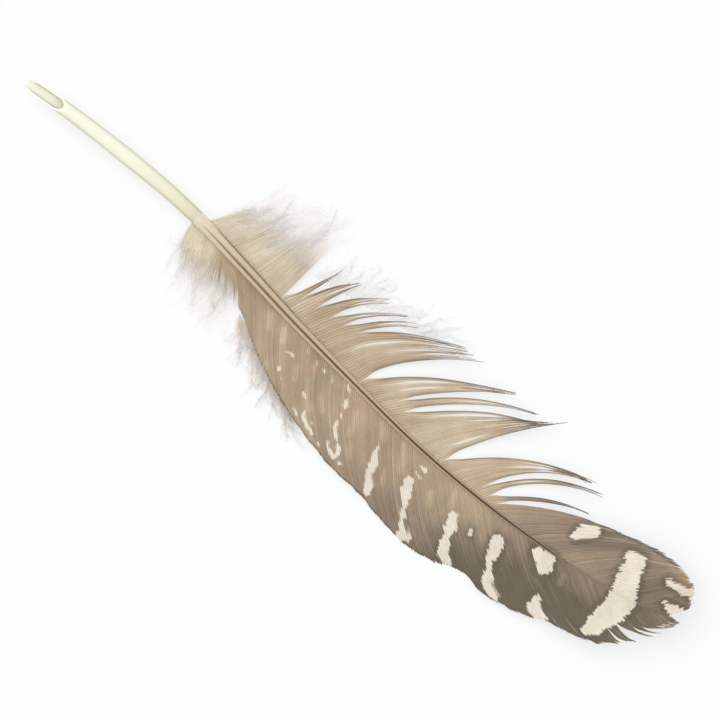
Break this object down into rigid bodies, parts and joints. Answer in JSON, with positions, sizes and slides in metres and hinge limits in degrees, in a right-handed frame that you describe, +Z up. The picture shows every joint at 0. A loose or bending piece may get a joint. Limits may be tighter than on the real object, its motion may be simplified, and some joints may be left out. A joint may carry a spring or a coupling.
{
  "type": "quill pen",
  "caption": "Small quill pen cut from one barred gamebird flank feather, with a hollow bare barrel, a slit nib and a vane whose inner side is split into free locks.",
  "frame": {"origin": "centre of the bounding box's bottom, on the floor that the feather rests on", "axes": "+X along the shaft from the nib to the tip of the vane, +Y towards the split inner vane, +Z up out of the grooved belly of the shaft"},
  "size_m": [0.103, 0.027, 0.0039],
  "materials": {
    "barrel_keratin": "satin",
    "shaft_keratin": "satin",
    "shaft_pith": "matte",
    "pulp_membrane": "matte",
    "inner_web": "satin",
    "outer_web": "satin",
    "tip_web": "satin",
    "down": "matte"
  },
  "bodies": {
    "quill": {"calamus_barrel": "barrel_keratin", "down_inner_fringe": "down", "down_inner_tuft": "down", "down_outer_fringe": "down", "down_outer_tuft": "down", "inner_base_web_1": "inner_web", "inner_base_web_2": "inner_web", "inner_base_web_3": "inner_web", "inner_tip_web_1": "tip_web", "inner_tip_web_2": "tip_web", "inner_tip_web_3": "tip_web", "outer_web_01": "outer_web", "outer_web_02": "outer_web", "outer_web_03": "outer_web", "outer_web_04": "outer_web", "outer_web_05": "outer_web", "outer_web_06": "outer_web", "outer_web_07": "outer_web", "outer_web_08": "outer_web", "outer_web_09": "outer_web", "outer_web_10": "outer_web", "outer_web_11": "outer_web", "outer_web_12": "outer_web", "pulp_caps": "pulp_membrane", "rachis_cortex": "shaft_keratin", "rachis_pith": "shaft_pith", "umbilical_membrane": "pulp_membrane"},
    "lock_01": {"lock_01": "inner_web"},
    "lock_02": {"lock_02": "inner_web"},
    "lock_03": {"lock_03": "inner_web"},
    "lock_04": {"lock_04": "inner_web"},
    "lock_05": {"lock_05": "inner_web"},
    "lock_06": {"lock_06": "inner_web"},
    "lock_07": {"lock_07": "inner_web"},
    "lock_08": {"lock_08": "inner_web"},
    "lock_09": {"lock_09": "inner_web"},
    "lock_10": {"lock_10": "inner_web"},
    "lock_11": {"lock_11": "inner_web"},
    "lock_12": {"lock_12": "inner_web"}
  },
  "joints": [
    {"name": "lock_01_flex", "type": "hinge", "parent": "quill", "child": "lock_01", "pos_m": [-0.01024, 0.00076, 0.00042], "axis": [0.9851, -0.172, -0.0076], "range_deg": [-3, 30], "stiffness_Nm_per_rad": 0.00000079},
    {"name": "lock_02_flex", "type": "hinge", "parent": "quill", "child": "lock_02", "pos_m": [-0.00875, 0.00051, 0.00041], "axis": [0.9855, -0.1693, -0.0065], "range_deg": [-3, 30], "stiffness_Nm_per_rad": 0.00000213},
    {"name": "lock_03_flex", "type": "hinge", "parent": "quill", "child": "lock_03", "pos_m": [-0.00697, 0.00021, 0.0004], "axis": [0.9865, -0.1634, -0.0057], "range_deg": [-2, 30], "stiffness_Nm_per_rad": 0.000003},
    {"name": "lock_04_flex", "type": "hinge", "parent": "quill", "child": "lock_04", "pos_m": [-0.00536, -0.00006, 0.00039], "axis": [0.9872, -0.1593, -0.0056], "range_deg": [-2, 30], "stiffness_Nm_per_rad": 0.0000027},
    {"name": "lock_05_flex", "type": "hinge", "parent": "quill", "child": "lock_05", "pos_m": [-0.00393, -0.00029, 0.00038], "axis": [0.9879, -0.155, -0.0058], "range_deg": [-2, 30], "stiffness_Nm_per_rad": 0.00000357},
    {"name": "lock_06_flex", "type": "hinge", "parent": "quill", "child": "lock_06", "pos_m": [-0.0002, -0.00084, 0.00036], "axis": [0.9893, -0.1457, -0.0057], "range_deg": [-1.5, 30], "stiffness_Nm_per_rad": 0.0000243},
    {"name": "lock_07_flex", "type": "hinge", "parent": "quill", "child": "lock_07", "pos_m": [0.0048, -0.00156, 0.00033], "axis": [0.9907, -0.1358, -0.0051], "range_deg": [-3.5, 30], "stiffness_Nm_per_rad": 0.0000123},
    {"name": "lock_08_flex", "type": "hinge", "parent": "quill", "child": "lock_08", "pos_m": [0.0075, -0.00192, 0.00032], "axis": [0.9915, -0.1302, -0.0048], "range_deg": [-2.5, 30], "stiffness_Nm_per_rad": 0.00000767},
    {"name": "lock_09_flex", "type": "hinge", "parent": "quill", "child": "lock_09", "pos_m": [0.01249, -0.00243, 0.0003], "axis": [0.9953, -0.0964, -0.0042], "range_deg": [-3, 30], "stiffness_Nm_per_rad": 0.0000161},
    {"name": "lock_10_flex", "type": "hinge", "parent": "quill", "child": "lock_10", "pos_m": [0.01945, -0.00296, 0.00027], "axis": [0.9991, -0.0425, -0.0037], "range_deg": [-3, 30], "stiffness_Nm_per_rad": 0.00000724},
    {"name": "lock_11_flex", "type": "hinge", "parent": "quill", "child": "lock_11", "pos_m": [0.02284, -0.00309, 0.00026], "axis": [0.9998, -0.0192, -0.0036], "range_deg": [-3.5, 30], "stiffness_Nm_per_rad": 0.00000399},
    {"name": "lock_12_flex", "type": "hinge", "parent": "quill", "child": "lock_12", "pos_m": [0.02406, -0.00311, 0.00025], "axis": [0.9999, -0.0111, 0.0009], "range_deg": [-4.5, 30], "stiffness_Nm_per_rad": 0.00000118}
  ]
}
